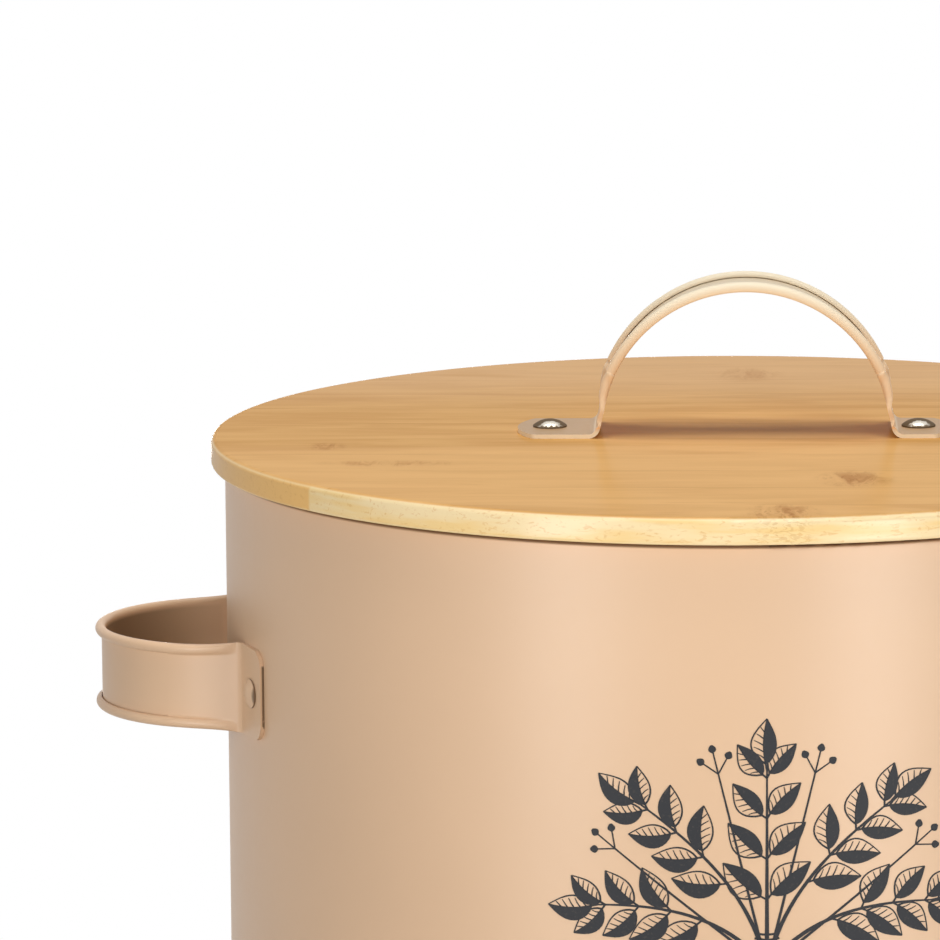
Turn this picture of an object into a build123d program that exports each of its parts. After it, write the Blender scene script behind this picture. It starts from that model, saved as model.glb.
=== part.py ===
"""A round sheet-steel storage bin for potatoes, with a bamboo lid and strap handles.

The wall is a rolled sheet with a lock seam down the back, closed below by a pan that is
crimped round its lower edge, and finished above by an inward curl. Three handles are bent
from flat strap with rolled edges: one is riveted to each side, and one to the lid, which
lifts straight off. The origin is the middle of the bin on the floor, +Z is up, the front
is -Y and the side handles are on the X axis. Lengths are millimetres, angles are degrees.
"""

import os
from math import atan2, cos, degrees, pi, radians, sin, sqrt

from build123d import *

# ---- Driving dimensions ----
# Wall
body_radius = 121.7          # outside
body_height = 185.0          # floor to the top of the rim
sheet = 0.6                  # thickness of the wall and the pan
curl_diameter = 3.0          # rolled rim, turned inwards
curl_angle = 260.0
seam_width = 6.0
seam_depth = 1.2             # folds of the lock seam, inside the wall
seam_groove = 0.25           # closing line of the seam, outside
seam_groove_width = 0.7
vent_diameter = 6.0          # air holes round the back
vent_count = 8               # in each row
vent_step = 12.0             # between neighbours in a row
vent_row_pitch = 14.0
vent_drop = 30.0             # upper row below the rim

# Base pan
pan_rise = 5.0               # underside of its disc above the floor
pan_corner = 2.5             # bend from the disc to the flange, centreline
hem_height = 4.5             # outer leg of the crimped hem
hem_corner = 0.35            # its two bends, centreline
crimp_gap = 0.05             # left between crimped sheets

# Lid
lid_overhang = 3.3           # past the wall
lid_thickness = 6.3
lid_top_round = 1.4
lid_bottom_round = 0.8
lid_seat_gap = 0.3           # between the lid and the rim
disc_thickness = 5.0         # locating disc glued under the lid
disc_clearance = 1.0         # between the disc and the rim
disc_round = 0.8
lid_turn = -4.0              # the lid as it was put on, from the side handles' line

# Strap, for all three handles
strap = 1.0                  # thickness
roll_radius = 0.75           # rolled edges, centreline
roll_angle = 270.0
roll_root = 0.4              # a pressed roll runs out onto the web
roll_spread = 1.2            # what a roll gains in width as it is pressed flat
roll_fade = 3                # the higher, the later a roll sinks
arch_end = 77.0              # from the apex to the straight legs
leg_steps = 8                # between the sections of a leg, from rolled to flat edges
foot_bend = 2.4              # from a leg to its foot, centreline

# Lid handle
lid_strap_width = 22.2       # over the rolled edges
lid_foot_width = 25.4
lid_arch_radius = 35.0       # centreline
lid_arch_centre = 0.5        # above the top of the lid
lid_arch_shift = 2.8         # the arch stands off the middle between its rivets
lid_handle_shift = 1.4       # middle between the rivets, off the lid's middle
lid_roll_end = 13.5          # above the foot's bend, where the rolls start to be pressed
lid_flat_leg = 5.0           # above the foot's bend, where they are flat
lid_rivet_reach = 9.5        # from the arch to each rivet, without the shift
lid_foot_overhang = 7.8      # from a rivet to the foot's end
lid_foot_bow = 3.9           # depth of the foot's curved end
lid_foot_corner = 1.5

# Side handles
side_strap_width = 20.3      # over the rolled edges
side_foot_width = 21.7
side_arch_radius = 31.0      # centreline
side_arch_sink = 1.1         # its centre, inside the wall's face
side_roll_end = 17.0
side_flat_leg = 0.0
side_drop = 48.65            # middle of the handle below the rim
side_rivet_inset = 6.5       # from the foot's bend to its rivet, along the wall
side_foot_overhang = 6.2     # from the rivet to the foot's end, along the wall
side_foot_corner = 4.2

# Rivets and washers
side_shank = 3.2
side_head = 7.0
side_head_height = 1.5
side_tail = 5.2
lid_shank = 4.0
lid_head = 8.2
lid_head_height = 1.9
lid_tail = 6.6
tail_height = 1.2
head_rim = 0.35              # straight rim under each dome
hole_clearance = 0.1         # on the diameter
wall_seat_gap = 0.05         # under what is flat, or bent to the wall, on the round wall
washer_diameter = 11.0
washer_thickness = 0.8

# ---- Derived sizes and places ----
wall_inside = body_radius - sheet
wall_foot = sheet + crimp_gap
curl_radius = curl_diameter / 2
curl_centre = (body_radius - curl_radius, body_height - curl_radius)
seam_bottom = pan_rise + sheet + pan_corner
seam_top = body_height - curl_diameter - seam_depth
lid_radius = body_radius + lid_overhang
disc_radius = body_radius - curl_diameter - disc_clearance
lid_bottom = body_height + lid_seat_gap
lid_top = lid_bottom + lid_thickness
disc_bottom = lid_bottom - disc_thickness
foot_inside = body_radius + wall_seat_gap
foot_outside = foot_inside + strap
foot_middle = foot_inside + strap / 2
side_height = body_height - side_drop
side_arch_centre = body_radius - side_arch_sink
lid_rivet_spacing = 2 * (lid_arch_radius + lid_rivet_reach)
lid_frame = Plane.XY.offset(lid_top).rotated((0, 0, lid_turn))
lid_rivet_places = [lid_handle_shift + side * lid_rivet_spacing / 2 for side in (-1, 1)]


# ---- Strap handle ----
# A handle is modelled across the Y axis, with its apex on +Z and its feet towards +X and -X.
# A section of the strap has its width along local X and faces away from the hand on local Y.
# The edges of the strap are rolled, and on its legs these rolls are pressed shut and flat.


def arch_point(radius, centre, turn):
    """Point of the arch, turn degrees from its apex."""
    return radius * sin(radians(turn)), centre + radius * cos(radians(turn))


def strap_plane(x, z, turn):
    """Plane across the strap at (x, z), where its path has turned by turn from the apex."""
    along = (cos(radians(turn)), 0, -sin(radians(turn)))
    return Plane(origin=(x, 0, z), x_dir=(0, 1, 0), z_dir=along)


def rolled_section(plane, width):
    """Section of a strap with rolled edges that is width across, over the rolls."""
    web_half = width / 2 - roll_radius - strap / 2
    with BuildSketch(plane) as section:
        with BuildLine():
            CenterArc((web_half, roll_radius), roll_radius, -90, roll_angle)
            Line((-web_half, 0), (web_half, 0))
            CenterArc((-web_half, roll_radius), roll_radius, -90, -roll_angle)
        trace(line_width=strap)
    return section.sketch


def pressed_section(plane, width, left):
    """Section of a strap that is width across, with rolls of which left, up to 1, is left.

    The wire is joined outside any builder, because one would merge the outline's edges that
    lie in line once nothing is left, and sections loft only if they have as many edges.
    """
    half = strap / 2
    outside = roll_radius + half
    top = half + 2 * roll_radius * left
    bulge = sqrt(left) * (half + top) / 2
    edge = width / 2 - bulge
    tip = edge - outside - roll_spread * (1 - left)
    tip_height = half + left * (roll_radius - half)
    flank = edge - (edge - tip) * sin(pi / 4)
    flank_height = tip_height + left * outside * cos(pi / 4)
    edges = [
        Line((-edge, -half), (edge, -half)),
        Line((roll_root - tip, half), (tip - roll_root, half)),
    ]
    for side in (1, -1):
        foot, crest = (side * edge, -half), (side * edge, top)
        end, root = (side * tip, tip_height), (side * (tip - roll_root), half)
        edges.append(Line(end, root))
        if left:
            edges.append(ThreePointArc(foot, (side * (edge + bulge), (top - half) / 2), crest))
            edges.append(ThreePointArc(crest, (side * flank, flank_height), end))
        else:
            edges.append(Line(foot, crest))
            edges.append(Line(crest, end))
    return plane * Face(Wire(edges))


def foot_bend_centre(radius, centre, wall_radius):
    """Centre of the bend between a leg and its foot, and the straight length of the leg.

    The foot's centreline is an arc of wall_radius about the origin, or flat if that is 0.
    """
    leg_x, leg_z = arch_point(radius, centre, arch_end)
    down_x, down_z = cos(radians(arch_end)), -sin(radians(arch_end))
    start_x, start_z = leg_x - foot_bend * down_z, leg_z + foot_bend * down_x
    if wall_radius:
        along = start_x * down_x + start_z * down_z
        spare = start_x**2 + start_z**2 - (wall_radius + foot_bend) ** 2
        length = -along - sqrt(along**2 - spare)
    else:
        length = (start_z - strap / 2 - foot_bend) / -down_z
    return start_x + length * down_x, start_z + length * down_z, length


def strap_arch(width, foot_width, radius, centre, roll_end, flat_leg, wall_radius=0.0):
    """Arch with rolled edges, on legs whose rolls are pressed flat, down to the feet's bends."""
    bend_x, bend_z, leg_length = foot_bend_centre(radius, centre, wall_radius)
    foot_turn = degrees(atan2(bend_x, bend_z)) if wall_radius else 0.0
    leg_top = max(roll_end, leg_length)
    roll_turn = arch_end - degrees((leg_top - leg_length) / radius)
    start = strap_plane(*arch_point(radius, centre, -roll_turn), -roll_turn)
    rolled_edges = rolled_section(start, width)
    legs = []
    for side in (1, -1):
        sections = []
        for step in range(leg_steps + 1):
            above = leg_top * (1 - step / leg_steps)
            turn = arch_end - degrees(max(above - leg_length, 0) / radius)
            below = leg_length - min(above, leg_length)
            x, z = arch_point(radius, centre, turn)
            x += below * cos(radians(arch_end))
            z -= below * sin(radians(arch_end))
            plane = strap_plane(side * x, z, side * turn)
            share = min(max(roll_end - above, 0) / (roll_end - flat_leg), 1)
            left = 1 - share**roll_fade
            across = foot_width + left * (width - foot_width)
            sections.append(pressed_section(plane, across, left))
        legs.append((side, sections, plane))

    with BuildPart() as arch:
        revolve(rolled_edges, Axis((0, 0, centre), (0, 1, 0)), 2 * roll_turn)
        for side, sections, bend_plane in legs:
            loft(sections)
            with BuildSketch(bend_plane):
                Rectangle(foot_width, strap)
            revolve(
                axis=Axis((side * bend_x, 0, bend_z), (0, -side, 0)),
                revolution_arc=arch_end - foot_turn,
            )
    return arch.part


# ---- Rivet ----
# Its axis is Z, the underside of its head lies on Z = 0 and its dome is above.


def rivet(head, head_height, shank, grip, tail):
    """Domed rivet whose tail is set against what it holds, grip below the head."""
    with BuildPart() as rivet_part:
        with BuildSketch(Plane.XZ):
            with BuildLine():
                rise = head_height - head_rim
                dome = ((head / 2) ** 2 + rise**2) / (2 * rise)
                RadiusArc((0, head_height), (head / 2, head_rim), dome)
                Polyline(
                    (head / 2, head_rim),
                    (head / 2, 0),
                    (shank / 2, 0),
                    (shank / 2, -grip),
                    (tail / 2, -grip),
                    (tail / 2, -grip - tail_height / 2),
                    (tail / 2 - tail_height / 2, -grip - tail_height),
                    (0, -grip - tail_height),
                    (0, head_height),
                )
            make_face()
        revolve(axis=Axis.Z)
    return rivet_part.part


os.makedirs("parts", exist_ok=True)

# ---- Places on the round wall ----
side_bend_x, side_bend_z, side_leg = foot_bend_centre(
    side_arch_radius, side_arch_centre, foot_middle
)
side_foot_turn = degrees(atan2(side_bend_x, side_bend_z))
side_rivet_turn = side_foot_turn + degrees(side_rivet_inset / foot_middle)
side_foot_end = side_rivet_turn + degrees(side_foot_overhang / foot_middle)


def wall_plane(turn, height, radius):
    """Plane touching the round wall at turn degrees from +X, facing outwards."""
    out = (cos(radians(turn)), sin(radians(turn)), 0)
    across = (-sin(radians(turn)), cos(radians(turn)), 0)
    return Plane(origin=(radius * out[0], radius * out[1], height), x_dir=across, z_dir=out)


side_rivet_planes = [
    wall_plane(middle + side * side_rivet_turn, side_height, foot_outside + wall_seat_gap)
    for middle in (0, 180)
    for side in (-1, 1)
]
vent_planes = [
    wall_plane(90 + (number - (vent_count - 1) / 2) * vent_step, height, body_radius)
    for height in (body_height - vent_drop, body_height - vent_drop - vent_row_pitch)
    for number in range(vent_count)
]

# ---- Body wall ----
with BuildPart() as body_wall:
    with BuildSketch(Plane.XZ):
        with BuildLine():
            Line((body_radius - sheet / 2, wall_foot), (body_radius - sheet / 2, curl_centre[1]))
            CenterArc(curl_centre, curl_radius - sheet / 2, 0, curl_angle)
        trace(line_width=sheet)
    revolve(axis=Axis.Z)
    with BuildSketch(Plane.XY.offset(seam_bottom)):
        with Locations((0, wall_inside - (seam_depth - sheet) / 2)):
            Rectangle(seam_width, seam_depth + sheet)
    extrude(amount=seam_top - seam_bottom)
    with BuildSketch(Plane.XY.offset(wall_foot)):
        with Locations((0, body_radius)):
            Rectangle(seam_groove_width, 2 * seam_groove)
    extrude(amount=seam_top - wall_foot, mode=Mode.SUBTRACT)
    with BuildSketch(*vent_planes):
        Circle(vent_diameter / 2)
    extrude(amount=2 * sheet, both=True, mode=Mode.SUBTRACT)
    with BuildSketch(*side_rivet_planes):
        Circle((side_shank + hole_clearance) / 2)
    extrude(amount=4 * sheet, both=True, mode=Mode.SUBTRACT)

body_wall.part.label = "body_wall"
export_step(body_wall.part, "parts/body_wall.step")

# ---- Base pan ----
with BuildPart() as base_pan:
    inner_leg = wall_inside - crimp_gap - sheet / 2
    outer_leg = body_radius + crimp_gap + sheet / 2
    disc_level = pan_rise + sheet / 2
    with BuildSketch(Plane.XZ):
        with BuildLine():
            FilletPolyline(
                (0, disc_level),
                (inner_leg, disc_level),
                (inner_leg, sheet / 2),
                (outer_leg, sheet / 2),
                (outer_leg, hem_height),
                radius=(pan_corner, hem_corner, hem_corner),
            )
        trace(line_width=sheet)
    revolve(axis=Axis.Z)

base_pan.part.label = "base_pan"
export_step(base_pan.part, "parts/base_pan.step")

# ---- Side handles ----
with BuildPart() as side_strap:
    add(
        strap_arch(
            side_strap_width,
            side_foot_width,
            side_arch_radius,
            side_arch_centre,
            side_roll_end,
            side_flat_leg,
            foot_middle,
        )
    )
    foot_x, foot_z = arch_point(foot_middle, 0, side_foot_turn)
    for side in (-1, 1):
        with BuildSketch(strap_plane(side * foot_x, foot_z, side * side_foot_turn)):
            Rectangle(side_foot_width, strap)
        revolve(axis=Axis((0, 0, 0), (0, side, 0)), revolution_arc=side_foot_end - side_foot_turn)
    end_faces = side_strap.faces().filter_by(GeomType.PLANE).sort_by(Axis.X)
    for end_face in (end_faces[0], end_faces[-1]):
        fillet(end_face.edges().filter_by(lambda edge: edge.length < 2 * strap), side_foot_corner)

for name, facing in (("side_handle_left", -1), ("side_handle_right", 1)):
    place = Plane(origin=(0, 0, side_height), x_dir=(0, facing, 0), z_dir=(facing, 0, 0))
    with BuildPart() as side_handle:
        add(side_strap.part.moved(place.location))
        with BuildSketch(*side_rivet_planes):
            Circle((side_shank + hole_clearance) / 2)
        extrude(amount=2 * strap, both=True, mode=Mode.SUBTRACT)
    side_handle.part.label = name
    export_step(side_handle.part, f"parts/{name}.step")

# ---- Side handle rivets ----
with BuildPart() as side_handle_rivets:
    grip = foot_outside + wall_seat_gap - wall_inside + wall_seat_gap
    for plane in side_rivet_planes:
        add(rivet(side_head, side_head_height, side_shank, grip, side_tail).moved(plane.location))

side_handle_rivets.part.label = "side_handle_rivets"
export_step(side_handle_rivets.part, "parts/side_handle_rivets.step")

# ---- Lid board ----
with BuildPart() as lid_board:
    with BuildSketch(lid_frame.offset(-lid_thickness)):
        Circle(lid_radius)
    extrude(amount=lid_thickness)
    rims = lid_board.edges().filter_by(GeomType.CIRCLE).sort_by(Axis.Z)
    fillet(rims[-1], lid_top_round)
    fillet(rims[0], lid_bottom_round)
    with BuildSketch(lid_frame):
        with Locations(*[(place, 0) for place in lid_rivet_places]):
            Circle((lid_shank + hole_clearance) / 2)
    extrude(amount=-lid_thickness, mode=Mode.SUBTRACT)

lid_board.part.label = "lid_board"
export_step(lid_board.part, "parts/lid_board.step")

# ---- Lid locating disc ----
with BuildPart() as lid_locating_disc:
    with BuildSketch(lid_frame.offset(disc_bottom - lid_top)):
        Circle(disc_radius)
        with Locations(*[(place, 0) for place in lid_rivet_places]):
            Circle((lid_shank + hole_clearance) / 2, mode=Mode.SUBTRACT)
    extrude(amount=disc_thickness)
    rims = lid_locating_disc.edges().filter_by(GeomType.CIRCLE).group_by(Axis.Z)[0]
    fillet(rims.sort_by(SortBy.RADIUS)[-1], disc_round)

lid_locating_disc.part.label = "lid_locating_disc"
export_step(lid_locating_disc.part, "parts/lid_locating_disc.step")

# ---- Lid handle ----
with BuildPart() as lid_strap:
    add(
        strap_arch(
            lid_strap_width,
            lid_foot_width,
            lid_arch_radius,
            lid_arch_centre,
            lid_roll_end,
            lid_flat_leg,
        )
    )
    foot_start = foot_bend_centre(lid_arch_radius, lid_arch_centre, 0.0)[0]
    for side in (-1, 1):
        rivet_place = lid_rivet_spacing / 2 - side * lid_arch_shift
        foot_end = rivet_place + lid_foot_overhang
        corner = (side * (foot_end - lid_foot_bow), lid_foot_width / 2)
        far_corner = (corner[0], -corner[1])
        with BuildSketch() as foot:
            with BuildLine():
                Polyline(
                    corner,
                    (side * foot_start, lid_foot_width / 2),
                    (side * foot_start, -lid_foot_width / 2),
                    far_corner,
                )
                ThreePointArc(far_corner, (side * foot_end, 0), corner)
            make_face()
            ends = foot.vertices().group_by(lambda vertex: side * vertex.X)[-1]
            fillet(ends, lid_foot_corner)
            with Locations((side * rivet_place, 0)):
                Circle((lid_shank + hole_clearance) / 2, mode=Mode.SUBTRACT)
        extrude(amount=strap)

with BuildPart() as lid_handle:
    middle = lid_frame * Pos(lid_handle_shift + lid_arch_shift, 0, 0)
    add(lid_strap.part.moved(middle))

lid_handle.part.label = "lid_handle"
export_step(lid_handle.part, "parts/lid_handle.step")

# ---- Lid handle rivets and the washers under their tails ----
with BuildPart() as lid_handle_rivets:
    for place in lid_rivet_places:
        grip = strap + lid_thickness + disc_thickness + washer_thickness
        seat = lid_frame * Pos(place, 0, strap)
        add(rivet(lid_head, lid_head_height, lid_shank, grip, lid_tail).moved(seat))

lid_handle_rivets.part.label = "lid_handle_rivets"
export_step(lid_handle_rivets.part, "parts/lid_handle_rivets.step")

with BuildPart() as lid_rivet_washers:
    with BuildSketch(lid_frame.offset(disc_bottom - lid_top)):
        with Locations(*[(place, 0) for place in lid_rivet_places]):
            Circle(washer_diameter / 2)
            Circle((lid_shank + hole_clearance) / 2, mode=Mode.SUBTRACT)
    extrude(amount=-washer_thickness)

lid_rivet_washers.part.label = "lid_rivet_washers"
export_step(lid_rivet_washers.part, "parts/lid_rivet_washers.step")
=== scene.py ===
"""Looks of a round potato storage bin: powder-coated steel, a bamboo lid and strap handles.

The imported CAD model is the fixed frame. This script gives each of its pieces a finish, prints
a fan of leafy sprigs on the front of the wall, and sets the bin in a plain pale studio.

The row frame has +Z up, the floor at Z = 0, the front at -Y and the side handles on the X axis.
Objects are in metres. Finishes and prints are written in millimetres, and MM turns one into
the other.
"""

import logging
from dataclasses import dataclass, field
from enum import Enum
from functools import reduce
from math import atan2, cos, degrees, hypot, pi, radians, sin
from typing import Any, Mapping, Optional, Sequence, Union

import bmesh
import bpy
from mathutils import Matrix, Vector


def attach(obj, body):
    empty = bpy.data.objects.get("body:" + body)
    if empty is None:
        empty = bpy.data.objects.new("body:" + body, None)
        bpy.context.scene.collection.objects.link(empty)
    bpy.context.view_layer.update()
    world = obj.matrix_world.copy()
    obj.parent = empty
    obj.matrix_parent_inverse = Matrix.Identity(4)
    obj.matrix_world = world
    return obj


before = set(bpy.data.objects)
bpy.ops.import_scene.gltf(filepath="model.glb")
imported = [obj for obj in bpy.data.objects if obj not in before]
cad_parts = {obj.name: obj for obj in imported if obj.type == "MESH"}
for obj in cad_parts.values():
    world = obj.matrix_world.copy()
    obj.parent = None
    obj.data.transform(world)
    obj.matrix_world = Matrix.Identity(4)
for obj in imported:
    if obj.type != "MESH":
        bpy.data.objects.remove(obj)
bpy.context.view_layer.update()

MM = 0.001
LOG = logging.getLogger("potato_bin")

# Sockets of a Mix node that mixes colours: several share a name, so they go by number.
MIX_SHARE, MIX_NONE, MIX_FULL = 0, 6, 7
MIX_COLOUR = 2

Number = Union[float, "Value"]
Colour = tuple[float, float, float]
Point = tuple[float, float]

WHITE: Colour = (1.0, 1.0, 1.0)


def srgb(red: int, green: int, blue: int) -> Colour:
    """Linear colour of an sRGB colour given in steps of 0 to 255."""
    return tuple(
        share / 12.92 if share <= 0.04045 else ((share + 0.055) / 1.055) ** 2.4
        for share in (red / 255, green / 255, blue / 255)
    )


def evenly(low: float, high: float, steps: int) -> list[float]:
    """Numbers from low to high in that many even steps."""
    return [low + (high - low) * step / steps for step in range(steps + 1)]


def add_mesh(name: str, mesh: bmesh.types.BMesh) -> bpy.types.Object:
    """Put a finished mesh in the scene.

    Args:
        name: Name of the new object.
        mesh: Its mesh, which is freed.

    Returns:
        The new object.
    """
    data = bpy.data.meshes.new(name)
    mesh.to_mesh(data)
    mesh.free()
    made = bpy.data.objects.new(name, data)
    bpy.context.scene.collection.objects.link(made)
    return made


# ---- Shader expressions ----


class Value:
    """One node's output in a shader graph, ready to be used in an expression."""

    def __init__(self, graph: "Graph", socket: bpy.types.NodeSocket) -> None:
        """Wrap the output socket of a node that is in the graph."""
        self.graph = graph
        self.socket = socket

    def maths(self, operation: str, *terms: Number) -> "Value":
        """Result of a Math node that does operation on the terms."""
        return self.graph.node("ShaderNodeMath", {"operation": operation}, dict(enumerate(terms)))

    def __add__(self, other: Number) -> "Value":
        """Sum of two values."""
        return self.maths("ADD", self, other)

    def __sub__(self, other: Number) -> "Value":
        """Difference of two values."""
        return self.maths("SUBTRACT", self, other)

    def __rsub__(self, other: Number) -> "Value":
        """Difference of a number and this value."""
        return self.maths("SUBTRACT", other, self)

    def __mul__(self, other: Number) -> "Value":
        """Product of two values."""
        return self.maths("MULTIPLY", self, other)

    def __truediv__(self, other: Number) -> "Value":
        """Quotient of two values."""
        return self.maths("DIVIDE", self, other)

    def __abs__(self) -> "Value":
        """Size of this value without its sign."""
        return self.maths("ABSOLUTE", self)

    __radd__ = __add__
    __rmul__ = __mul__

    def least(self, other: Number) -> "Value":
        """Smaller of two values."""
        return self.maths("MINIMUM", self, other)

    def most(self, other: Number) -> "Value":
        """Larger of two values."""
        return self.maths("MAXIMUM", self, other)

    def floor(self) -> "Value":
        """Whole number below this value."""
        return self.maths("FLOOR", self)

    def root(self) -> "Value":
        """Square root of this value."""
        return self.maths("SQRT", self)

    def rise(self, low: float, high: float) -> "Value":
        """Smooth step of this value, from 0 at low to 1 at high, which may be the lower."""
        settings = {"interpolation_type": "SMOOTHSTEP", "clamp": True}
        ends = {"From Min": low, "From Max": high}
        if low > high:
            ends = {"From Min": high, "From Max": low, "To Min": 1.0, "To Max": 0.0}
        return self.graph.node("ShaderNodeMapRange", settings, {"Value": self, **ends})


Input = Union[float, Sequence[float], Value]
Sockets = Mapping[Union[str, int], Input]


def reach(x: Value, y: Value) -> Value:
    """Length of a flat vector."""
    return (x * x + y * y).root()


def turned(x: Value, y: Value, degree: float) -> tuple[Value, Value]:
    """Place along and across a line that is turned from X by that many degrees."""
    turn = radians(degree)
    return x * cos(turn) + y * sin(turn), y * cos(turn) - x * sin(turn)


class Graph:
    """Node graph of one material, written by expressions."""

    def __init__(self, material: bpy.types.Material) -> None:
        """Start the material's graph afresh."""
        material.use_nodes = True
        self.tree = material.node_tree
        self.tree.nodes.clear()

    def node(
        self,
        kind: str,
        settings: Optional[Mapping[str, Any]] = None,
        inputs: Optional[Sockets] = None,
        output: Union[str, int] = 0,
    ) -> Value:
        """Add a node, with its settings made before its sockets are filled.

        Args:
            kind: Blender's name for the type of node.
            settings: Values of its properties.
            inputs: What goes into its sockets, by name or number: a value, number or colour.
            output: Name or number of the output to hand back.

        Returns:
            The chosen output.
        """
        made = self.tree.nodes.new(kind)
        for name, setting in (settings or {}).items():
            setattr(made, name, setting)
        for name, given in (inputs or {}).items():
            socket = made.inputs[name]
            if isinstance(given, Value):
                self.tree.links.new(given.socket, socket)
            elif socket.type == "RGBA" and not isinstance(given, float):
                socket.default_value = (*given, 1.0) if len(given) == 3 else given
            else:
                socket.default_value = given
        return Value(self, made.outputs[output]) if made.outputs else Value(self, None)

    def mix(self, share: Number, none: Input, full: Input) -> Value:
        """Colour between none and full, by share."""
        settings = {"data_type": "RGBA", "clamp_factor": True}
        inputs = {MIX_SHARE: share, MIX_NONE: none, MIX_FULL: full}
        return self.node("ShaderNodeMix", settings, inputs, MIX_COLOUR)

    def layers(self, colour: Input, *layers: tuple[Number, Input]) -> Value:
        """Colour with others laid over it one by one, each by its own share."""
        for share, over in layers:
            colour = self.mix(share, colour, over)
        return colour

    def place(self) -> Value:
        """Place on the piece in the row frame, in millimetres."""
        point = self.node("ShaderNodeTexCoord", output="Object")
        settings = {"operation": "SCALE"}
        return self.node("ShaderNodeVectorMath", settings, {0: point, "Scale": 1 / MM})

    def toward(self, x: Input, y: Input, z: Input) -> Value:
        """Unit normal along the given parts."""
        way = self.node("ShaderNodeCombineXYZ", inputs={0: x, 1: y, 2: z})
        return self.node("ShaderNodeVectorMath", {"operation": "NORMALIZE"}, {0: way})

    def facing_up(self) -> Value:
        """How far the piece's own surface faces up: 1 straight up, -1 straight down."""
        return self.parts(self.node("ShaderNodeNewGeometry", output="Normal"))[2]

    def stretch(self, point: Value, scale: Sequence[float]) -> Value:
        """Point with each of its coordinates scaled by its own amount."""
        return self.node("ShaderNodeVectorMath", {"operation": "MULTIPLY"}, {0: point, 1: scale})

    def parts(self, point: Value) -> tuple[Value, Value, Value]:
        """The three coordinates of a point."""
        node = self.node("ShaderNodeSeparateXYZ", inputs={0: point}).socket.node
        return tuple(Value(self, socket) for socket in node.outputs)

    def noise(self, point: Value, scale: float, detail: float = 2.0, warp: float = 0.0) -> Value:
        """Noise of 0 to 1 about a middle of 0.5, at scale waves per millimetre."""
        inputs = {"Vector": point, "Scale": scale, "Detail": detail, "Distortion": warp}
        return self.node("ShaderNodeTexNoise", inputs=inputs)

    def bump(self, height: Value, depth: float, under: Optional[Value] = None) -> Value:
        """Normal of a surface with that height in millimetres, times depth."""
        inputs = {"Height": height, "Distance": depth * MM}
        if under is not None:
            inputs["Normal"] = under
        return self.node("ShaderNodeBump", inputs=inputs)

    def surface(self, constants: Sockets, varying: Sockets) -> None:
        """End the graph in a Principled shader.

        Args:
            constants: Sockets that are the same all over the surface.
            varying: Sockets that the graph feeds.
        """
        shader = self.node("ShaderNodeBsdfPrincipled", inputs={**constants, **varying})
        self.node("ShaderNodeOutputMaterial", inputs={"Surface": shader})


# ---- Finishes ----


@dataclass(frozen=True)
class Finish:
    """A finish of one or more pieces. Its slot is the record's name for it."""

    name: str
    slot: Optional[str] = None

    def material(self) -> bpy.types.Material:
        """The finish's material, made when it is first asked for."""
        found = bpy.data.materials.get(self.name)
        if found is None:
            found = bpy.data.materials.new(self.name)
            self.paint(Graph(found))
        return found

    def paint(self, graph: Graph) -> None:
        """Fill the material's graph."""
        raise NotImplementedError

    def dress(self, *pieces: bpy.types.Object) -> None:
        """Give the pieces this finish alone."""
        for piece in pieces:
            piece.data.materials.clear()
            piece.data.materials.append(self.material())
            LOG.info("%s: %s", piece.name, self.name)


@dataclass(frozen=True)
class PowderCoat(Finish):
    """Matt powder coat with a fine orange-peel texture, with painted shade and a painted highlight
    laid on where a subclass masks them.
    """

    colour: Colour = srgb(227, 190, 154)
    # Colour of the painted shade.
    shade: Colour = srgb(78, 52, 20)
    # Colour of the painted highlight.
    light: Colour = srgb(255, 238, 208)
    palest: float = 1.02
    """The colour's palest drift, as a share of it."""
    deepest: float = 0.965
    """The colour's deepest drift, as a share of it."""
    roughness: float = 0.42
    gloss: float = 0.6
    drift_scale: float = 0.012
    peel_scale: float = 0.6
    fine_scale: float = 3.2
    peel_depth: float = 0.004

    def painted_shade(self, graph: Graph, place: Value) -> Optional[Value]:
        """Mask of painted shade, or None."""
        return None

    def painted_highlight(self, graph: Graph, place: Value) -> Optional[Value]:
        """Mask of painted highlight, or None."""
        return None

    def under(self, graph: Graph, place: Value) -> Optional[Value]:
        """Normal under the coat's own texture, where it isn't the mesh's, or None."""
        return None

    def paint(self, graph: Graph) -> None:
        """Fill the material's graph."""
        place = graph.place()
        drift = graph.noise(place, self.drift_scale)
        peel = graph.noise(place, self.peel_scale)
        fine = graph.noise(place, self.fine_scale, 1.0)
        pale = tuple(share * self.palest for share in self.colour)
        deep = tuple(share * self.deepest for share in self.colour)
        layers = [(drift.rise(0.3, 0.7), pale), (fine.rise(0.62, 0.8) * 0.10, deep)]
        # Painted highlight, then painted shade, laid over the coat's own colour.
        for mask, tone in (
            (self.painted_highlight(graph, place), self.light),
            (self.painted_shade(graph, place), self.shade),
        ):
            if mask is not None:
                layers.append((mask, tone))
        graph.surface(
            {"Specular IOR Level": self.gloss},
            {
                "Base Color": graph.layers(deep, *layers),
                "Roughness": self.roughness + 0.10 * (peel - 0.5),
                "Normal": graph.bump(peel, self.peel_depth, self.under(graph, place)),
            },
        )


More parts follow.
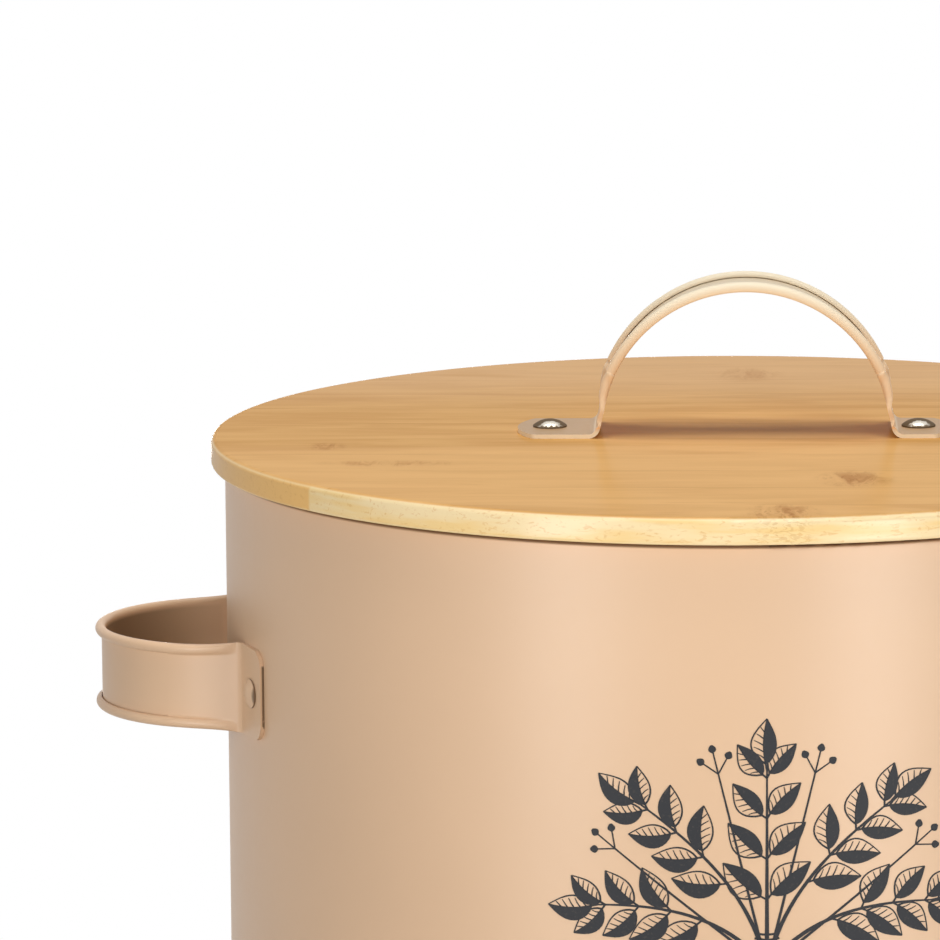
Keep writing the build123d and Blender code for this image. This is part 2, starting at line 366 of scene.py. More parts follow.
@dataclass(frozen=True)
class WallCoat(PowderCoat):
    """The coat on the wall, with a thin line of painted shade just under the lid's overhang."""

    gap_low: float = 183.75
    gap_high: float = 184.35
    gap_end: float = 184.95
    # Heights where the painted shade under the lid starts, is at its darkest, and has ended.
    """Heights where the gap starts to darken, is at its darkest, and has ended."""
    gap_dark: float = 0.8
    curl_out: float = 120.2
    """Radius of the middle of the curl's section."""
    curl_height: float = 183.5

    def painted_shade(self, graph: Graph, place: Value) -> Optional[Value]:
        """Mask of the painted shade just under the lid."""
        _, _, z = graph.parts(place)
        below = z.rise(self.gap_end, self.gap_end - 0.3)
        return z.rise(self.gap_low, self.gap_high) * below * self.gap_dark

    def under(self, graph: Graph, place: Value) -> Optional[Value]:
        """Normal that is truly round over the outer half of the curled rim."""
        x, y, z = graph.parts(place)
        away = reach(x, y)
        share = (away - self.curl_out) / away
        curl = graph.toward(x * share, y * share, z - self.curl_height)
        own = graph.node("ShaderNodeNewGeometry", output="Normal")
        on_curl = z.rise(self.curl_height - 0.01, self.curl_height + 0.01)
        return graph.mix(on_curl * away.rise(self.curl_out - 0.1, self.curl_out), own, curl)


@dataclass(frozen=True)
class SideStrapCoat(PowderCoat):
    """The coat on the side straps, with painted shade inside the arch and a broken painted shadow
    line at the cut ends.
    """

    foot_end: float = 22.003
    """Turn of the cut ends from the handles' line, in degrees."""
    foot_middle: float = 122.25
    arch_centre: float = 120.6
    arch_inside: float = 31.0
    height: float = 136.35
    half_web: float = 7.8
    cut_dark: float = 0.85
    peel_depth: float = 0.0015

    def painted_shade(self, graph: Graph, place: Value) -> Optional[Value]:
        """Mask of painted shade inside the arch and of the broken painted shadow line along each
        cut end.
        """
        x, y, z = graph.parts(place)
        x, y = abs(x), abs(y)
        web = abs(z - self.height).rise(self.half_web + 1.2, self.half_web)
        # Painted shadow along each foot's cut end, broken up by noise.
        cut = turned(x, y, self.foot_end)[1].rise(-0.14, -0.04)
        under = reach(x, y).rise(self.foot_middle + 0.2, self.foot_middle - 0.1)
        broken = graph.noise(place, 0.42, 3.0).rise(0.36, 0.46)
        # Painted shade inside the arch, deepest towards its outer end.
        off = x - self.arch_centre
        inside = reach(off, y).rise(self.arch_inside, self.arch_inside - 0.3)
        hollow = inside * (0.10 + 0.62 * off.rise(0.0, 30.0))
        return (hollow * web).most(cut * under * broken * self.cut_dark)


@dataclass(frozen=True)
class SideRivetCoat(PowderCoat):
    """The coat on the side rivets, with a painted shadow crescent beside each head."""

    rivet_turn: float = 19.098
    """Turn of the rivets from the handles' line, in degrees."""
    rivet_seat: float = 122.8
    """Distance of the underside of their heads from the bin's axis, in millimetres."""
    head: float = 7.0
    rim_dark: float = 0.8
    beside_dark: float = 0.85

    def painted_shade(self, graph: Graph, place: Value) -> Optional[Value]:
        """Mask of painted shade on the rim of each head, wider on the side away from the arch."""
        x, y, _ = graph.parts(place)
        out, past = turned(abs(x), abs(y), self.rivet_turn)
        rim = out.rise(self.rivet_seat + 0.45, self.rivet_seat + 0.2)
        beside = past.rise(self.head * 0.36, self.head * 0.47)
        outside = out.rise(self.rivet_seat - 0.6, self.rivet_seat - 0.3)
        return (rim * self.rim_dark).most(beside * self.beside_dark) * outside


@dataclass(frozen=True)
class LidStrapCoat(PowderCoat):
    """The coat on the lid's strap, drawn paler as painted light, with a painted highlight on the
    arch and on the feet's edges, and painted shade on top of its feet and on the arch's web.
    """

    # The bin's powder coat drawn paler, as painted light on the strap.
    colour: Colour = srgb(246, 212, 172)
    # Colours of the painted shade and the painted highlight.
    shade: Colour = srgb(160, 122, 76)
    light: Colour = srgb(255, 243, 216)
    gloss: float = 0.15
    turn: float = -4.0
    """Turn of the strap from X, in degrees."""
    web: float = 8.6
    """Half the width of the web between the rolled edges, in millimetres."""
    foot_top: float = 192.6
    crown_low: float = 200.0
    crown_high: float = 227.0
    # Strengths of the painted shade on the feet and on the web, and of the painted highlight on the
    # arch and on the feet's edges.
    foot_dark: float = 0.75
    web_dark: float = 0.32
    arch_pale: float = 0.85
    edge_pale: float = 0.8
    peel_depth: float = 0.0

    def foot(self, graph: Graph, place: Value) -> Value:
        """Mask of the feet and their bends."""
        _, _, z = graph.parts(place)
        return z.rise(self.foot_top + 1.6, self.foot_top + 0.2)

    def painted_shade(self, graph: Graph, place: Value) -> Optional[Value]:
        """Mask of painted shade on the top of the feet, and on the arch's web between its rolled
        edges.
        """
        x, y, z = graph.parts(place)
        web = abs(turned(x, y, self.turn)[1]).rise(self.web + 0.2, self.web - 0.2)
        hollow = web * z.rise(self.crown_low - 4.0, self.crown_low + 4.0)
        top = self.foot(graph, place) * graph.facing_up().rise(0.5, 0.9)
        return (top * self.foot_dark).most(hollow * self.web_dark)

    def painted_highlight(self, graph: Graph, place: Value) -> Optional[Value]:
        """Mask of painted highlight on the top of the arch and on the edges of the feet."""
        _, _, z = graph.parts(place)
        edge_highlight = self.foot(graph, place) * graph.facing_up().rise(0.9, 0.5)
        arch = z.rise(self.crown_low, self.crown_high)
        return (arch * self.arch_pale).most(edge_highlight * self.edge_pale)


class Grain(Enum):
    """Noises of bamboo: waves per millimetre along, across and up, then detail and warp."""

    SWAY = (0.016, 0.05, 0.05, 2.0, 0.0)
    STREAK = (0.022, 0.13, 0.13, 4.0, 0.5)
    FIBRE = (0.045, 0.9, 0.9, 3.0, 0.2)
    HAIR = (0.09, 3.6, 3.6, 2.0, 0.0)
    KNOT_WAVE = (0.20, 0.055, 0.055, 4.0, 1.1)
    KNOT_CURL = (0.5, 0.16, 0.16, 2.0, 1.6)
    FLECK = (0.30, 0.9, 0.9, 3.0, 1.4)
    PATCHY = (0.03, 0.04, 0.25, 3.0, 0.0)
    SWIRL = (0.26, 0.3, 0.8, 3.0, 2.4)

    def at(self, graph: Graph, place: Value) -> Value:
        """This noise at a place."""
        *waves, detail, warp = self.value
        return graph.noise(graph.stretch(place, waves), 1.0, detail, warp)


@dataclass(frozen=True)
class Knot:
    """A dark patch where the cane had a node: its place, its reaches, and how dark it is."""

    along: float
    across: float
    reach_along: float
    reach_across: float
    dark: float


@dataclass(frozen=True)
class Bamboo(Finish):
    """Varnished board of bamboo strips, with its grain along X once turned back by turn."""

    pale: Colour = srgb(240, 188, 118)
    mid: Colour = srgb(228, 172, 98)
    deep: Colour = srgb(206, 147, 76)
    knot: Colour = srgb(172, 104, 32)
    front: Colour = srgb(250, 197, 128)
    # Colour of the painted sheen towards the back of the board.
    back: Colour = srgb(242, 196, 146)
    # Pale tone of the rim, partly its own and partly painted highlight; also the colour of the
    # painted highlight lines.
    edge_pale: Colour = srgb(254, 229, 180)
    edge_gold: Colour = srgb(250, 212, 140)
    edge_tan: Colour = srgb(248, 197, 120)
    turn: float = 0.0
    strip: float = 23.7
    strip_start: float = -60.0
    strip_shift: float = 260.0
    """How far the grain can be shifted from strip to strip."""
    line_share: tuple[float, float] = (0.484, 0.499)
    """Where a glue line starts and is at its darkest, as shares of a strip from its middle."""
    line_dark: float = 0.3
    front_strip: tuple[float, float] = (-21.0, -27.0)
    """Across the board, where its paler front starts and is full."""
    back_fade: tuple[float, float] = (20.0, 95.0)
    # Across the board, where the painted sheen on its back starts and is full.
    """Across the board, where its paler back starts and is full."""
    knots: tuple[Knot, ...] = ()
    end_grain: float = 79.3
    """How far across the board the rim shows end grain."""
    core: tuple[float, float, float] = (123.6, 186.1, 190.2)
    """Radius of the flat top, and the heights between which the rim stands upright."""

    def paint(self, graph: Graph) -> None:
        """Fill the material's graph."""
        inputs = {"Vector": graph.place(), "Angle": radians(-self.turn)}
        place = graph.node("ShaderNodeVectorRotate", {"rotation_type": "Z_AXIS"}, inputs)
        along, across, up = graph.parts(place)

        # Each strip has its own tone and a grain of its own, and a thin dark line on either side.
        number = (across - self.strip_start) / self.strip
        strip = number.floor()
        own = graph.node("ShaderNodeTexWhiteNoise", {"noise_dimensions": "1D"}, {"W": strip})
        line = abs(number - strip - 0.5).rise(*self.line_share)
        inputs = {0: along + own * self.strip_shift, 1: across, 2: up}
        shifted = graph.node("ShaderNodeCombineXYZ", inputs=inputs)

        # Fibres run along the grain: broad streaks, then fine ones.
        sway, streak = Grain.SWAY.at(graph, shifted), Grain.STREAK.at(graph, shifted)
        fibre, hair = Grain.FIBRE.at(graph, shifted), Grain.HAIR.at(graph, shifted)
        colour = graph.layers(
            self.deep,
            (streak.rise(0.30, 0.70), self.pale),
            (0.5, self.mid),
            (own * 0.22, self.pale),
            (across.rise(*self.front_strip) * 0.5, self.front),
            # Painted sheen, paler towards the back.
            (across.rise(*self.back_fade) * 0.6, self.back),
            (fibre.rise(0.60, 0.80) * 0.40, self.deep),
            (fibre.rise(0.40, 0.24) * 0.30, self.front),
            (hair.rise(0.60, 0.80) * 0.18, self.deep),
            (sway.rise(0.60, 0.76) * 0.35, self.deep),
            (line * streak.rise(0.62, 0.42) * self.line_dark, self.knot),
        )

        # A knot is a wavy dark patch right across one strip.
        patch: Number = 0.0
        for knot in self.knots:
            near_x = (along - knot.along) / knot.reach_along
            near_y = (across - knot.across) / knot.reach_across
            patch = reach(near_x, near_y).rise(1.2, 0.3) * knot.dark + patch
        if self.knots:
            wave, curl = Grain.KNOT_WAVE.at(graph, place), Grain.KNOT_CURL.at(graph, place)
            colour = graph.layers(
                colour,
                (patch * (0.2 + 0.65 * wave.rise(0.42, 0.62)), self.knot),
                (patch * curl.rise(0.52, 0.62) * 0.45, self.knot),
                (patch * wave.rise(0.42, 0.30) * 0.5, self.front),
            )

        # The rim shows pale long grain at the front and back, and tan end grain at the sides. Its
        # pale tone is partly the grain's own and partly painted highlight.
        flat, low, high = self.core
        away = reach(along, across)
        rim = up.rise(high + 1.25, high + 0.85) * away.rise(flat - 0.2, flat + 0.2)
        fleck, patchy = Grain.FLECK.at(graph, place), Grain.PATCHY.at(graph, place)
        swirl = Grain.SWIRL.at(graph, place)
        # Painted highlight lines along the rim's top and bottom roundings.
        edge_highlight = up.rise(high + 0.4, high + 0.9).most(up.rise(low - 0.2, low - 0.6))
        rim_colour = graph.layers(
            self.edge_pale,
            (patchy.rise(0.40, 0.66) * 0.8, self.edge_gold),
            (abs(across).rise(self.end_grain + 0.4, self.end_grain - 0.4), self.edge_tan),
            (fleck.rise(0.56, 0.70) * 0.40, self.mid),
            (fibre.rise(0.6, 0.8) * 0.3, self.mid),
            (patch * swirl.rise(0.50, 0.58) * 0.5, self.deep),
            (edge_highlight * 0.5, self.edge_pale),
        )

        # The board is truly round: its normal leads straight away from its flat core.
        out = (away - flat).most(0.0) / away
        east, north = turned(along, across, -self.turn)
        round_normal = graph.toward(east * out, north * out, up - up.least(high).most(low))

        grain = fibre + 0.4 * hair - line * 1.5
        graph.surface(
            {"Specular IOR Level": 0.0, "Coat Roughness": 0.18, "Coat IOR": 1.5},
            {
                "Base Color": graph.mix(rim, colour, rim_colour),
                "Roughness": 0.42 + 0.16 * fibre,
                "Coat Weight": 0.14 + 0.3 * rim,
                "Normal": graph.bump(grain, 0.02, round_normal if self.knots else None),
            },
        )


@dataclass(frozen=True)
class Nickel(Finish):
    """Bright nickel plate with a painted highlight patch on each domed head, painted dark
    reflection round it, and painted shade on the low rim of each head.
    """

    colour: Colour = srgb(214, 206, 192)
    # Colour of the painted dark reflection and painted shade on the heads.
    painted_dark: Colour = srgb(92, 70, 42)
    seat: float = 0.0
    """Height of the underside of the heads, in millimetres."""
    bright_shift: float = 2.8
    # How far the painted highlight patch of a head lies towards the front.
    """How far the bright patch of a head lies towards the front."""
    bright_share: float = 0.38
    """The patch's depth as a share of its width."""
    bright: float = 0.65
    """Half the patch's depth."""
    bright_fade: float = 0.45
    """How far the patch fades out from there."""
    rivets: tuple[Point, ...] = ()

    def paint(self, graph: Graph) -> None:
        """Fill the material's graph."""
        place = graph.place()
        x, y, z = graph.parts(place)
        # Each head's painted highlight patch; the rest of the head and its low rim take painted
        # dark reflection and painted shade.
        spots = [
            reach((x - rivet_x) * self.bright_share, y - rivet_y + self.bright_shift)
            for rivet_x, rivet_y in self.rivets
        ]
        # Noise for the metal's worn roughness and bump, which also jags the painted highlight's
        # outline.
        wear_and_glint = graph.noise(place, 1.6, 3.0, 0.4)
        away = reduce(Value.least, spots) + 1.1 * (wear_and_glint - 0.5)
        ring = away.rise(self.bright, self.bright + self.bright_fade)
        height = z - self.seat
        painted_shade = (ring * height.rise(-1.0, 0.0)).most(height.rise(0.4, 0.3))
        graph.surface(
            {"Specular IOR Level": 0.0},
            {
                "Base Color": graph.mix(painted_shade * 0.9, self.colour, self.painted_dark),
                "Metallic": 1.0 - 0.8 * painted_shade,
                "Roughness": 0.16 + 0.18 * wear_and_glint + 0.2 * painted_shade,
                "Normal": graph.bump(wear_and_glint, 0.01),
            },
        )


@dataclass(frozen=True)
class ZincPlate(Finish):
    """Dull zinc plate with a turned, finely ringed face."""

    colour: Colour = srgb(176, 178, 180)
    dull: float = 0.72
    """The darkest spangle, as a share of the colour."""
    rivets: tuple[Point, ...] = ()

    def paint(self, graph: Graph) -> None:
        """Fill the material's graph."""
        place = graph.place()
        x, y, _ = graph.parts(place)
        spots = [reach(x - rivet_x, y - rivet_y) for rivet_x, rivet_y in self.rivets]
        away = reduce(Value.least, spots)
        settings = {"noise_dimensions": "1D"}
        rings = graph.node("ShaderNodeTexNoise", settings, {"W": away, "Scale": 4.0})
        spangle = graph.noise(place, 0.6)
        dull = tuple(share * self.dull for share in self.colour)
        graph.surface(
            {"Metallic": 1.0},
            {
                "Base Color": graph.mix(spangle.rise(0.35, 0.65), dull, self.colour),
                "Roughness": 0.34 + 0.14 * rings,
                "Normal": graph.bump(rings, 0.02),
            },
        )


@dataclass(frozen=True)
class Ink(Finish):
    """Charcoal printing ink, a little uneven in its depth."""

    colour: Colour = srgb(31, 32, 36)
    worn: Colour = srgb(66, 62, 58)

    def paint(self, graph: Graph) -> None:
        """Fill the material's graph."""
        grain = graph.noise(graph.place(), 1.4, 3.0)
        graph.surface(
            {"Specular IOR Level": 0.4},
            {
                "Base Color": graph.mix(grain.rise(0.52, 0.78) * 0.6, self.colour, self.worn),
                "Roughness": 0.55 + 0.15 * grain,
            },
        )


# ---- Print on the wall ----


class Side(Enum):
    """A side of a leaf, seen from its stem's foot."""

    LEFT = 1
    RIGHT = -1


@dataclass
class WallPrint:
    """A fan of leafy sprigs with berries, drawn in ink on the round wall.

    Strokes are drawn flat, across and up in millimetres from the foot of the fan, then
    wrapped round the wall as thin closed ribbons.
    """

    wall_radius: float
    foot_height: float
    spread: float = 50.0
    """Half the fan's width."""
    tall: float = 57.0
    ink_sunk: float = 0.10
    ink_proud: float = 0.12
    leaf_long: float = 14.0
    leaf_wide: float = 3.4
    stalk: float = 0.12
    """Share of a leaf's length that is bare stalk."""
    fullest: float = 0.82
    """The lower, the nearer its start a stroke or leaf is at its widest."""
    pairs: int = 7
    veins: int = 5
    strokes: list[tuple[list[Point], list[float]]] = field(default_factory=list)
    leaves: list[Point] = field(default_factory=list)
    """Middles of the leaves drawn so far."""

    def fullness(self, share: float) -> float:
        """Fullness of a stroke or leaf at a share of its length: 0 at both ends, at most 1."""
        return abs(sin(pi * share**self.fullest))

    def stroke(self, points: Sequence[Point], start: float, end: float, belly: float = 0.0) -> None:
        """Draw one stroke.

        Args:
            points: Its middle line.
            start: Its width at the start.
            end: Its width at the end.
            belly: What it is wider by between its ends.
        """
        widths = [
            start + (end - start) * share + belly * self.fullness(share)
            for share in evenly(0.0, 1.0, len(points) - 1)
        ]
        self.strokes.append((list(points), widths))

    def leaf(self, root: Point, heading: float, size: float, shaded: Side) -> None:
        """Draw a leaf with one dark half, unless another leaf is in its way.

        Args:
            root: Where its stalk leaves the stem.
            heading: Its direction from +across, in degrees.
            size: Its share of a full-sized leaf.
            shaded: The side that is dark.
        """
        long, wide = self.leaf_long * size, self.leaf_wide * size
        ahead = (cos(radians(heading)), sin(radians(heading)))

        def at(share: float, off: float) -> Point:
            """Point at a share of the leaf's length, off its rib."""
            bow = 0.9 * size * sin(pi * share)
            return (
                root[0] + ahead[0] * long * share - ahead[1] * (off + bow),
                root[1] + ahead[1] * long * share + ahead[0] * (off + bow),
            )

        def half(share: float) -> float:
            """Half the leaf's width at a share of its length."""
            inside = (share - self.stalk) / (1.0 - self.stalk)
            return wide * self.fullness(max(0.0, min(1.0, inside)))

        middle = at(0.56, 0.0)
        if any(hypot(middle[0] - x, middle[1] - y) < 2.0 * wide for x, y in self.leaves):
            return
        self.leaves.append(middle)
        blade = evenly(self.stalk, 1.0, 12)
        dark, light = shaded.value, -shaded.value
        self.stroke([at(share, dark * half(share) / 2) for share in blade], 0.3, 0.24, wide)
        self.stroke([at(share, light * half(share)) for share in blade], 0.42, 0.24)
        self.stroke([at(share, 0.0) for share in evenly(0.0, 0.92, 8)], 0.46, 0.18)
        for share in evenly(0.22, 0.74, self.veins - 1):
            ends = [(share, 0.0), (share + 0.06, 0.42), (share + 0.10, 0.80)]
            line = [at(place, light * half(place) * off) for place, off in ends]
            self.stroke(line, 0.30, 0.14)

    def sprig(self, tip: Point, lean: float, bare: float) -> None:
        """Draw a sprig from the fan's foot to its tip.

        Args:
            tip: Where its last leaf starts.
            lean: How far the stem bows to the outside, as a share of its length.
            bare: Share of the stem without leaves.
        """
        out = (tip[1] * lean, -tip[0] * lean)

        def stem(share: float) -> Point:
            """Point at a share of the stem."""
            bow = 4 * share * (1 - share) * (1 - 0.35 * share)
            return tip[0] * share + out[0] * bow, tip[1] * share + out[1] * bow

        def heading(root: Point, ahead: Point) -> float:
            """Direction from one point to another, in degrees."""
            return degrees(atan2(ahead[1] - root[1], ahead[0] - root[0]))

        self.stroke([stem(share) for share in evenly(0.0, 1.0, 20)], 1.05, 0.36)
        shaded = Side.RIGHT if tip[0] >= 0 else Side.LEFT
        root = stem(0.99)
        self.leaf(root, heading(root, stem(1.01)), 0.84, shaded)
        for share in reversed(evenly(bare, 0.95, self.pairs - 1)):
            root = stem(share)
            way, open_by = heading(root, stem(share + 0.02)), 54 - 14 * share
            for side in Side:
                self.leaf(root, way + side.value * open_by, 1.05 - 0.34 * share, shaded)

    def berries(self, tip: Point) -> None:
        """Draw a bare twig from the fan's foot that ends in three berries.

        Args:
            tip: Where its middle berry is.
        """
        way = atan2(tip[1], tip[0])
        twig = hypot(*tip) - 4.5
        fork = (cos(way) * twig, sin(way) * twig)
        shares = evenly(0.0, 1.0, 8)
        self.stroke([(fork[0] * share, fork[1] * share) for share in shares], 0.7, 0.36)
        for turn, long in ((-42.0, 4.0), (0.0, 5.0), (42.0, 4.0)):
            ahead = (cos(way + radians(turn)), sin(way + radians(turn)))
            end = (fork[0] + ahead[0] * long, fork[1] + ahead[1] * long)
            self.stroke([fork, end], 0.34, 0.3)
            ball = evenly(0.0, 1.8, 6)
            line = [(end[0] + ahead[0] * off, end[1] + ahead[1] * off) for off in ball]
            self.stroke(line, 0.5, 0.5, 1.3)

    def tie(self) -> None:
        """Draw the band of twine that ties the stems together."""
        for height in (5.2, 6.4, 7.6):
            self.stroke([(x, height + 0.05 * x * x) for x in evenly(-2.8, 2.8, 6)], 0.5, 0.5)

    def on_wall(self, point: Point, proud: float) -> Vector:
        """Flat point wrapped round the wall's front, that far proud of it."""
        turn = point[0] / self.wall_radius
        radius = (self.wall_radius + proud) * MM
        return Vector((radius * sin(turn), -radius * cos(turn), (self.foot_height + point[1]) * MM))

    def ribbon(self, mesh: bmesh.types.BMesh, points: list[Point], widths: list[float]) -> None:
        """Add one stroke to the mesh as a closed ribbon."""
        rings = []
        last = len(points) - 1
        for number, ((x, y), width) in enumerate(zip(points, widths)):
            before, after = points[max(number - 1, 0)], points[min(number + 1, last)]
            run = hypot(after[0] - before[0], after[1] - before[1])
            side = (-(after[1] - before[1]) / run, (after[0] - before[0]) / run)
            corners = (
                (width / 2, -self.ink_sunk),
                (width / 2, self.ink_proud),
                (-width / 2, self.ink_proud),
                (-width / 2, -self.ink_sunk),
            )
            rings.append(
                [
                    mesh.verts.new(self.on_wall((x + off * side[0], y + off * side[1]), deep))
                    for off, deep in corners
                ]
            )
        for ring, following in zip(rings, rings[1:]):
            for corner in range(4):
                after = (corner + 1) % 4
                mesh.faces.new((ring[corner], following[corner], following[after], ring[after]))
        mesh.faces.new(rings[0])
        mesh.faces.new(rings[-1][::-1])

    def build(self, ink: Finish) -> None:
        """Draw the fan and make it one inked piece that rides on the bin.

        Args:
            ink: Finish of the strokes.
        """
        self.sprig((0.0, self.tall - 11.0), 0.0, 0.34)
        for side in (-1, 1):
            self.sprig((side * self.spread * 0.58, self.tall * 0.66), -side * 0.12, 0.44)
            self.sprig((side * self.spread * 0.78, self.tall * 0.24), -side * 0.16, 0.42)
            self.berries((side * self.spread * 0.24, self.tall * 0.86))
            self.berries((side * self.spread * 0.76, self.tall * 0.52))
        self.tie()
        mesh = bmesh.new()
        for points, widths in self.strokes:
            self.ribbon(mesh, points, widths)
        bmesh.ops.recalc_face_normals(mesh, faces=mesh.faces)
        piece = add_mesh("sprig_print", mesh)
        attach(piece, "bin")
        ink.dress(piece)


# ---- Sub-assemblies ----


@dataclass
class Bin:
    """The sheet-steel bin with its base pan, side handles and their rivets."""

    nodes: Mapping[str, bpy.types.Object]
    ink: Ink = field(default_factory=lambda: Ink("charcoal_ink"))
    wall_radius: float = 121.7
    print_foot: float = 88.0

    def build(self) -> None:
        """Dress the bin's pieces and print its front."""
        WallCoat("wall_coat", "powder_coat").dress(self.nodes["body_wall"])
        PowderCoat("pan_coat", "powder_coat").dress(self.nodes["base_pan"])
        strap = SideStrapCoat("side_strap_coat", "powder_coat")
        strap.dress(self.nodes["side_handle_left"], self.nodes["side_handle_right"])
        SideRivetCoat("rivet_coat", "painted_rivet").dress(self.nodes["side_handle_rivets"])
        WallPrint(self.wall_radius, self.print_foot).build(self.ink)


@dataclass
class Lid:
    """The bamboo lid with its locating disc, strap handle, rivets and washers."""

    nodes: Mapping[str, bpy.types.Object]
    turn: float = -4.0
    top: float = 191.6
    strap: float = 1.0
    rivet_shift: float = 1.4
    rivet_spacing: float = 89.0
    knots: tuple[Knot, ...] = (
        Knot(29.2, -72.0, 9.0, 12.0, 0.75),
        Knot(11.9, -118.0, 9.0, 12.0, 0.75),
        Knot(-95.8, -24.0, 5.0, 6.0, 0.5),
        Knot(-79.0, -49.0, 17.0, 5.0, 0.42),
        Knot(5.2, 91.0, 9.0, 12.0, 0.3),
        Knot(84.0, 22.0, 9.0, 12.0, 0.45),
    )

    def rivet_places(self) -> tuple[Point, ...]:
        """Places of the two rivets in the row frame, in millimetres."""
        turn = radians(self.turn)
        offs = [self.rivet_shift + side * self.rivet_spacing / 2 for side in (-1, 1)]
        return tuple((off * cos(turn), off * sin(turn)) for off in offs)

    def build(self) -> None:
        """Dress the lid's pieces."""
        board = Bamboo("lid_bamboo", "bamboo", turn=self.turn, knots=self.knots)
        board.dress(self.nodes["lid_board"])
        disc = Bamboo("disc_bamboo", "bamboo", turn=self.turn, strip_start=-48.0, end_grain=60.0)
        disc.dress(self.nodes["lid_locating_disc"])
        LidStrapCoat("lid_strap_coat", "powder_coat").dress(self.nodes["lid_handle"])
        places = self.rivet_places()
        nickel = Nickel("bright_nickel", "nickel", seat=self.top + self.strap, rivets=places)
        nickel.dress(self.nodes["lid_handle_rivets"])
        ZincPlate("zinc_plate", "zinc_washer", rivets=places).dress(self.nodes["lid_rivet_washers"])


# ---- Studio ----


@dataclass(frozen=True)
class SoftBox:
    """A rectangular lamp that faces the bin: angles in degrees, lengths in metres, power in W."""

    azimuth: float
    """Turn from the front, seen from above."""
    elevation: float
    distance: float
    width: float
    height: float
    power: float


class Lamp(Enum):
    """The studio's soft boxes."""

    LEFT = SoftBox(-32.0, 6.0, 0.6, 0.14, 0.4, 1.32)
    RIGHT = SoftBox(29.0, 6.0, 0.6, 0.14, 0.4, 1.6)
    TOP = SoftBox(0.0, 88.0, 1.3, 0.7, 0.7, 10.3)
    BACK = SoftBox(180.0, -1.0, 1.0, 0.6, 0.14, 3.6)


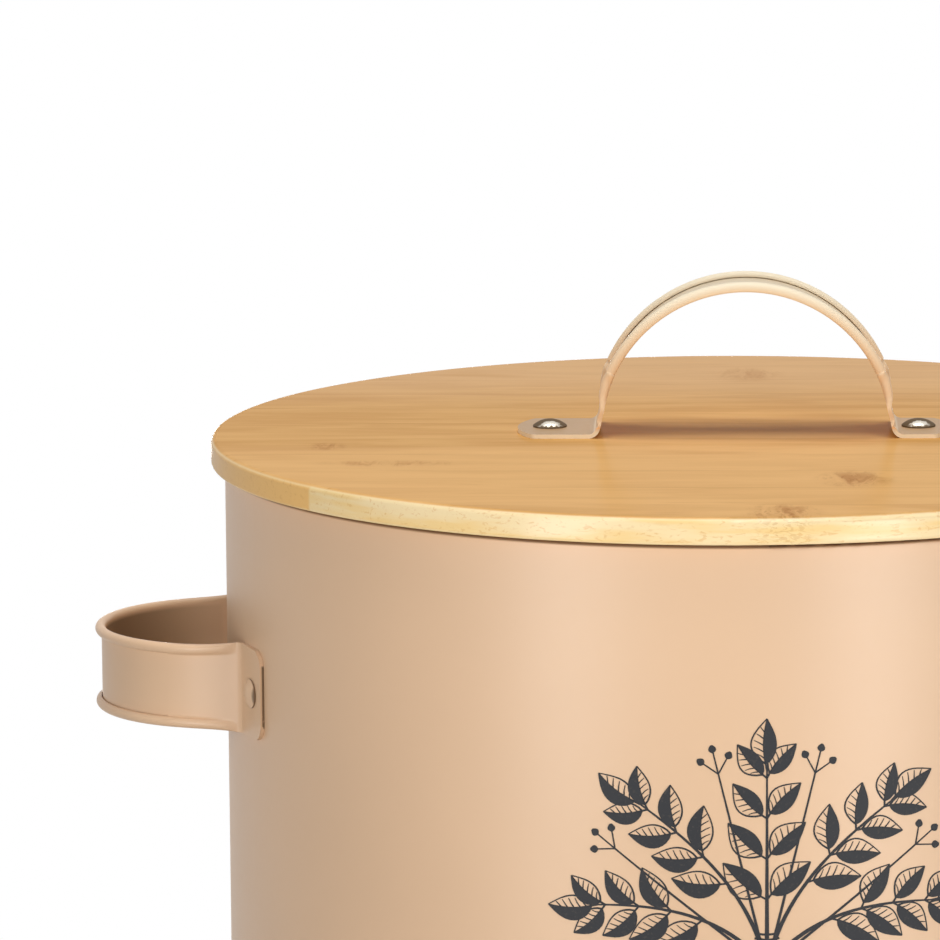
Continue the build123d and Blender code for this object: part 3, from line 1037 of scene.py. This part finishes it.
@dataclass
class Studio:
    """Plain pale floor, soft light and the camera."""

    lamp_turn: float = -4.0
    """Turn of all the lamps about the bin, in degrees, in line with the camera."""
    target: Vector = field(default_factory=lambda: Vector((0.0, 0.0, 0.11)))
    world_strength: float = 0.11
    floor_radius: float = 12.0
    floor_colour: Colour = srgb(244, 243, 241)
    floor_bounce: Colour = srgb(160, 158, 154)
    """The floor's colour in the light that it throws on the bin."""
    floor_white: tuple[float, float] = (140.0, 300.0)
    """How far from the bin's axis the floor starts to turn white, and is white, in millimetres."""
    camera_place: Vector = field(default_factory=lambda: Vector((-0.1101, -1.5491, 0.4380)))
    camera_yaw: float = 0.0307
    camera_pitch: float = 0.1633
    camera_roll: float = -0.0075
    focal_length: float = 248.9
    sensor: float = 36.0
    sight: float = 50.0
    """How far the camera sees."""

    def floor(self) -> None:
        """Make a large round floor that is white to the camera away from the bin."""
        mesh = bmesh.new()
        bmesh.ops.create_circle(mesh, cap_ends=True, segments=96, radius=self.floor_radius)
        floor = add_mesh("floor", mesh)
        material = bpy.data.materials.new("floor_paper")
        graph = Graph(material)
        x, y, _ = graph.parts(graph.place())
        seen = self.seen(graph)
        colour = graph.mix(seen, self.floor_bounce, self.floor_colour)
        paper = graph.node("ShaderNodeBsdfDiffuse", inputs={"Color": colour})
        white = graph.node("ShaderNodeEmission", inputs={"Color": WHITE, "Strength": 1.0})
        share = seen * reach(x, y).rise(*self.floor_white)
        mixed = graph.node("ShaderNodeMixShader", inputs={0: share, 1: paper, 2: white})
        graph.node("ShaderNodeOutputMaterial", inputs={"Surface": mixed})
        floor.data.materials.append(material)

    @staticmethod
    def seen(graph: Graph) -> Value:
        """Mask of rays that show the background: the camera's, or by way of gloss or glass."""
        kinds = ("Is Camera Ray", "Is Glossy Ray", "Is Transmission Ray")
        return reduce(
            Value.most, [graph.node("ShaderNodeLightPath", output=kind) for kind in kinds]
        )

    def world(self) -> None:
        """Light the room softly from all round, and show it white."""
        world = bpy.data.worlds.new("studio")
        bpy.context.scene.world = world
        graph = Graph(world)
        lit = tuple(self.world_strength * share for share in WHITE)
        colour = graph.mix(self.seen(graph), lit, WHITE)
        room = graph.node("ShaderNodeBackground", inputs={"Color": colour})
        graph.node("ShaderNodeOutputWorld", inputs={"Surface": room})

    def lamps(self) -> None:
        """Set up the soft boxes, each facing the bin."""
        for lamp in Lamp:
            box = lamp.value
            data = bpy.data.lights.new(f"lamp_{lamp.name.lower()}", "AREA")
            data.shape = "RECTANGLE"
            data.size, data.size_y = box.width, box.height
            data.energy = box.power
            light = bpy.data.objects.new(data.name, data)
            turn, rise = radians(box.azimuth + self.lamp_turn), radians(box.elevation)
            out = Vector((sin(turn) * cos(rise), -cos(turn) * cos(rise), sin(rise)))
            light.location = self.target + out * box.distance
            light.rotation_euler = out.to_track_quat("Z", "Y").to_euler()
            light.visible_camera = False
            bpy.context.scene.collection.objects.link(light)

    def camera(self) -> None:
        """Set up the camera, looking slightly down on the bin."""
        data = bpy.data.cameras.new("camera")
        data.lens = self.focal_length
        data.sensor_width = self.sensor
        data.clip_end = self.sight
        camera = bpy.data.objects.new("camera", data)
        yaw, pitch, roll = self.camera_yaw, self.camera_pitch, self.camera_roll
        ahead = Vector((sin(yaw) * cos(pitch), cos(yaw) * cos(pitch), -sin(pitch)))
        level = Vector((cos(yaw), -sin(yaw), 0.0))
        over = level.cross(ahead)
        right = level * cos(roll) + over * sin(roll)
        up = over * cos(roll) - level * sin(roll)
        facing = Matrix((right, up, -ahead)).transposed().to_4x4()
        camera.matrix_world = Matrix.Translation(self.camera_place) @ facing
        bpy.context.scene.collection.objects.link(camera)
        bpy.context.scene.camera = camera

    def build(self) -> None:
        """Set the whole studio up."""
        self.floor()
        self.world()
        self.lamps()
        self.camera()
        bpy.context.scene.view_settings.view_transform = "Standard"


def main() -> None:
    """Build the looks of each sub-assembly, then the studio."""
    logging.basicConfig(level=logging.INFO, format="%(name)s: %(message)s")
    for assembly in (Bin(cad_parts), Lid(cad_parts), Studio()):
        assembly.build()
        LOG.info("built %s", type(assembly).__name__)


if __name__ == "__main__":
    main()
